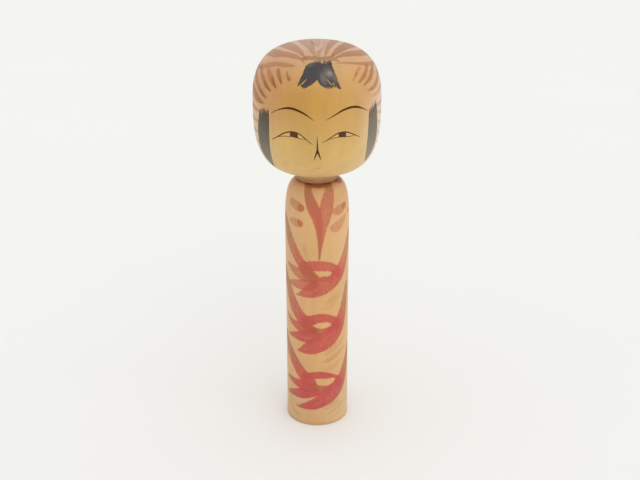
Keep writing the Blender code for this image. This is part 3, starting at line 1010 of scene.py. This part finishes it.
def sidelock_reflection_and_thinning(start, edge_share):
    """Full ink where the brush set off, paler down the lock and towards its outer edge as a painted
    reflection.
    """
    def sheen_and_thinning(across, down):
        outer = np.abs(across - edge_share)
        return start + 0.012 * (down - 60) + 0.30 * (1 - outer) * fade(100 - down, 5, 40)
    return sheen_and_thinning


# Each lock lies between a left and a right edge of (degrees, down).  A tuft is solid ink
# from an upper to a lower line of (share across, down), over a number of columns.  Spikes
# are tips, the level that they stand on, their half width, how thin their ink is and
# whether they are brushed with the tufts.  Single hairs run from one line of places to
# another, and are a number, a half width, how thin their ink is and the shortest's share.
LOCKS = {
    "forelock": {
        "seed": 11, "sheen_and_thinning": forelock_sheen_and_thinning,
        "edges": ([(-10.2, 26), (-11, 28), (-13.6, 34), (-17, 41)],
                  [(16.1, 26), (16.8, 28), (17.9, 34), (20.8, 43)]),
        "tufts": [
            ([(0, 28.8), (.1, 28.2), (.3, 27.2), (.45, 26.9), (.56, 26.8), (.62, 27.7), (.68, 28),
              (.74, 27.3), (.8, 28.5), (.88, 27.6), (1, 27.4)],
             [(0, 37.5), (.18, 37.5), (.46, 37.5), (.6, 37.1), (.69, 36.95), (.78, 38.2), (.85, 39.4),
              (1, 39.4)], 110),
            ([(0, 36.8), (.178, 36.8)], [(-.01, 40.3), (.053, 40.2)], 24),
            ([(.187, 36.8), (.46, 36.9)],
             [(.082, 40.8), (.158, 41.5), (.29, 41), (.37, 39.5), (.455, 37.7)], 60),
            ([(.46, 36.9), (.687, 36.4)],
             [(.462, 37.7), (.5, 39.2), (.545, 40.4), (.6, 41.3), (.66, 41.8), (.74, 41.3), (.8, 41.2),
              (.836, 41.5)], 60),
            ([(.699, 36.4), (.78, 37.7), (.849, 38.8)], [(.868, 41.5), (.89, 41.8)], 24),
            ([(.861, 38.8), (1, 38.8)], [(.921, 41.5), (.96, 41.8), (1, 42.1), (1.02, 42.4)], 24)],
        "spikes": ([(-9.2, 27.5), (-7.6, 26.9), (-5.6, 26.4), (-3.8, 26.1), (-1.8, 25.1), (.2, 25.4),
                    (2.1, 25.3), (4, 24.9), (7.7, 25.7), (9.8, 24.8), (11.8, 25.9), (13.6, 25.7),
                    (15.3, 25.2), (17, 25.1)], 28.8, 0.36, 0, True),
        "hairs": [
            ([(-16, 39.4), (-14.9, 39.6)], [(-18, 41.5), (-16.4, 41.7)], 4, 0.28, 0, 0.7),
            ([(-13.8, 40.1), (-11, 40.8), (-7.6, 40.8)],
             [(-15.6, 42), (-12.4, 43), (-9.4, 42.3)], 10, 0.32, 0, 0.65),
            ([(5.4, 40.6), (8.4, 41.1), (11.2, 40.6), (14, 40.8)],
             [(7.4, 42.5), (10.4, 43.2), (13.6, 42.8), (16, 42.9)], 11, 0.3, 0, 0.6),
            ([(15, 40.6), (16.4, 41)], [(17, 42.6), (18.2, 43)], 3, 0.26, 0, 0.6),
            ([(17.8, 41), (20.4, 41.5)], [(19.4, 43.1), (23.2, 44.2)], 6, 0.32, 0, 0.65),
            ([(-10.6, 27.8), (-12.8, 34), (-15.2, 39.4)],
             [(-12.8, 30.2), (-16, 37), (-18.9, 41.9)], 15, 0.19),
            ([(16.9, 29), (18, 34), (20, 39.6)], [(18.2, 31.4), (19.6, 37), (22, 42.6)], 7, 0.16)]},
    "sidelock_left": {
        "seed": 12, "sheen_and_thinning": sidelock_reflection_and_thinning(0.02, 1),
        "edges": ([(-59.5, 57), (-61.5, 62), (-65, 70), (-67.5, 80), (-66, 87), (-60, 93.5)],
                  [(-45.5, 55), (-45.5, 63), (-46, 70), (-47, 77), (-48.5, 84), (-50.5, 90), (-54, 94)]),
        "tufts": [
            ([(0, 60.4), (.22, 59.8), (.3, 60.8), (.38, 59.8), (1, 59.2)],
             [(0, 90.5), (.3, 93), (.7, 94), (1, 93.4)], 90)],
        "spikes": ([(-59.4, 58.2), (-57.4, 57.4), (-54.6, 56.9), (-52.9, 56.2), (-51.2, 56.5),
                    (-48.6, 57.2), (-47, 55.9)], 61.5, 0.5),
        "hairs": [
            ([(-60.4, 61.6), (-53, 61), (-46.2, 60.6)],
             [(-59.4, 57.8), (-54, 57), (-50.5, 57), (-45.6, 56.8)], 12, 0.24),
            ([(-62, 66), (-65.6, 74), (-66.5, 82), (-63, 89)],
             [(-64, 71), (-67.4, 78), (-67.6, 86), (-62, 93)], 14, 0.22, 0.55),
            ([(-61, 90), (-57, 91.5), (-53, 91)],
             [(-60, 95), (-57, 96.2), (-53.5, 95.6)], 8, 0.34, 0.4)]},
    "sidelock_right": {
        "seed": 13, "sheen_and_thinning": sidelock_reflection_and_thinning(0.34, 0),
        "edges": ([(51.8, 52), (51.2, 60), (51, 72), (51.5, 78), (53, 84), (57.5, 90)],
                  [(64, 53), (66, 60), (68, 70), (69, 78), (66.5, 86), (61, 91)]),
        "tufts": [
            ([(0, 60.2), (.4, 58.6), (.75, 57.4), (1, 57.6)],
             [(0, 87.5), (.3, 89.6), (.7, 90), (1, 88.2)], 90)],
        "spikes": ([(52.4, 56.9), (54.2, 56), (56.6, 54.1), (58.4, 56.2), (60.1, 54.4), (61.6, 53.6),
                    (63.2, 53), (64.4, 55.6)], 61, 0.42, 0.25),
        "hairs": [
            ([(51.8, 61.4), (58.5, 60.2), (65.2, 59)],
             [(52.4, 57.6), (57, 56), (60.6, 55), (64.4, 54.8)], 12, 0.24, 0.3),
            ([(66.4, 63), (68, 72), (68.4, 80), (64.5, 87)],
             [(67.8, 67), (69.8, 76), (69.6, 84), (63, 91.5)], 12, 0.22, 0.8),
            ([(54.5, 84), (58, 87.5), (62, 87)],
             [(56.5, 89.6), (59.5, 92.6), (62, 91.8)], 8, 0.34, 0.8)]},
}


def along_curve(places, share):
    """The place at a share of the way along a list of places."""
    steps = np.linspace(0.0, 1.0, len(places))
    return [float(np.interp(share, steps, [p[i] for p in places])) for i in (0, 1)]


class Lock:
    """A lock of hair, its tufts in one film and its single hairs in another."""

    def __init__(self, surface, shape):
        self.film, self.tips = Film(surface), Film(surface)
        self.left, self.right = shape["edges"]
        # These values also hold the forelock's painted sheen and the sidelocks' painted reflection
        self.sheen_and_thinning = shape["sheen_and_thinning"]     # how thin the ink is, by (share across, down)
        self.generator = np.random.default_rng(shape["seed"])
        for tuft in shape["tufts"]:
            self.tuft(*tuft)
        self.spikes(*shape["spikes"])
        for hairs in shape["hairs"]:
            self.hairs(*hairs)

    def degrees(self, across, down):
        low, high = (np.interp(down, [p[1] for p in edge], [p[0] for p in edge])
                     for edge in (self.left, self.right))
        return low + (high - low) * across

    def tuft(self, top, bottom, columns):
        edges = []
        for line in (top, bottom):
            across = np.linspace(line[0][0], line[-1][0], columns)
            edges.append(np.stack([across, np.interp(across, *np.transpose(line))], axis=-1))
        share = np.linspace(0.0, 1.0, TUFT_ROWS)[None, :, None]
        places = edges[0][:, None] + (edges[1] - edges[0])[:, None] * share
        across, down = places[..., 0], places[..., 1]
        self.film.patch(self.degrees(across, down), down, self.sheen_and_thinning(across, down))

    def spikes(self, tips, root_down, half_width, wash=0.0, with_tufts=False):
        film = self.film if with_tufts else self.tips
        for degrees, down in tips:
            lean = self.generator.uniform(-0.3, 0.3)
            middle = (root_down + 2 * down) / 3
            film.line([(degrees - lean, root_down, half_width * 1.2),
                       (degrees, middle, half_width * 0.9), (degrees, down, HAIR_TIP)], wash)

    def hairs(self, roots, tips, count, half_width, wash=0.0, shortest=0.45):
        for k in range(count):
            share = (k + self.generator.uniform(0.25, 0.75)) / count
            root = np.array(along_curve(roots, share))
            aim = along_curve(tips, share + self.generator.uniform(-0.3, 0.3) / count)
            tip = root + (aim - root) * self.generator.uniform(shortest, 1.0)
            middle = (root + tip) / 2 + self.generator.uniform(-0.1, 0.1, 2)
            width = half_width * self.generator.uniform(0.75, 1.15)
            self.tips.line([(*root, width), (*middle, width * 0.8), (*tip, HAIR_TIP)], wash)


# ---- Stage ----

FLOOR_HALF = 5000.0
FLOOR_DROP = 0.02               # the floor's gap below the base
FLOOR_COLOUR = (245, 245, 243)
WORLD_COLOUR = (1.0, 1.0, 0.99)
WORLD_STRENGTH = 0.90
CAMERA_PLACE = (0.00175, -0.59648, 0.37196)     # in metres
CAMERA_PITCH = math.radians(67.06)
CAMERA_LENS = 60.0
# name, direction that the light comes from, its spread in degrees, strength
LIGHTS = [
    ("window", (0.8, -1.0, 0.75), 75.0, 0.42),
    ("lamp", (0.25, -1.0, 1.3), 25.0, 0.10),
]


def build_floor():
    half, drop = FLOOR_HALF, -FLOOR_DROP
    corners = [(-half, -half, drop), (half, -half, drop), (half, half, drop), (-half, half, drop)]
    floor = build_mesh("floor", corners, [(0, 1, 2, 3)])
    floor.data.materials.append(floor_paper())


def build_lights():
    world = bpy.data.worlds.new("studio")
    world.use_nodes = True
    sky = world.node_tree.nodes["Background"]
    sky.inputs["Color"].default_value = (*WORLD_COLOUR, 1.0)
    sky.inputs["Strength"].default_value = WORLD_STRENGTH
    bpy.context.scene.world = world
    for name, direction, spread, strength in LIGHTS:
        light = bpy.data.lights.new(name, "SUN")
        light.angle = math.radians(spread)
        light.energy = strength
        lamp = bpy.data.objects.new(name, light)
        bpy.context.scene.collection.objects.link(lamp)
        lamp.location = direction
        lamp.rotation_euler = lamp.location.to_track_quat("Z", "Y").to_euler()


def build_camera():
    camera = bpy.data.objects.new("camera", bpy.data.cameras.new("camera"))
    bpy.context.scene.collection.objects.link(camera)
    camera.location = CAMERA_PLACE
    camera.rotation_euler = (CAMERA_PITCH, 0.0, 0.0)
    camera.data.lens = CAMERA_LENS
    camera.data.clip_start = 0.01
    camera.data.clip_end = 50.0
    bpy.context.scene.camera = camera
    bpy.context.scene.view_settings.view_transform = "Standard"


# ---- The doll ----


def build_wood(surface, node, pith, first_dye, deep_dye, paint):
    surface.build(node + "_turned")
    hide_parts(node)
    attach(surface.piece, node)
    paint(surface)
    wood = painted_wood(node + "_wood_dyed", pith, first_dye, deep_dye)
    surface.piece.data.materials.append(wood)


def build_doll():
    head = head_surface()
    build_wood(head, "head", (7.0, 4.0), AMBER_DYE, DEEP_AMBER_DYE, paint_head)
    build_wood(body_surface(), "body", (-9.0, 6.0), RED_DYE, DEEP_RED_DYE, paint_body)

    line_ink = ink("line_ink", (132, 94, 44), (82, 54, 18), 0.22, gloss=0.12)
    # The forelock's and sidelocks' paler ink colours also serve as their painted sheen and painted
    # reflection
    forelock_ink_and_sheen = ink("forelock_ink_and_sheen", (158, 146, 134), (70, 67, 68), 0.12)
    sidelock_ink_and_reflection = ink("sidelock_ink_and_reflection", (158, 146, 128), (84, 76, 60), 0.16)
    tip_ink = ink("tip_ink", (160, 138, 104), (86, 72, 54), 0.16, gloss=0.2)
    iris_ink = ink("iris_ink", (116, 86, 58), (84, 62, 46), 0.25, gloss=0.2)
    lip_ink = ink("lip_ink", (200, 150, 100), (176, 116, 76), 0.3)
    white_paint = ink("eye_white_paint", (206, 166, 106), (214, 178, 124), 0.4)
    build_eyes(head, line_ink, iris_ink, white_paint)
    build_nose_and_mouth(head, line_ink, lip_ink)
    for name, shape in LOCKS.items():
        lock = Lock(head, shape)
        lock.film.build(name, forelock_ink_and_sheen if name == "forelock" else sidelock_ink_and_reflection)
        lock.tips.build(name + "_tips", tip_ink)


build_camera()
build_lights()
build_floor()
build_doll()
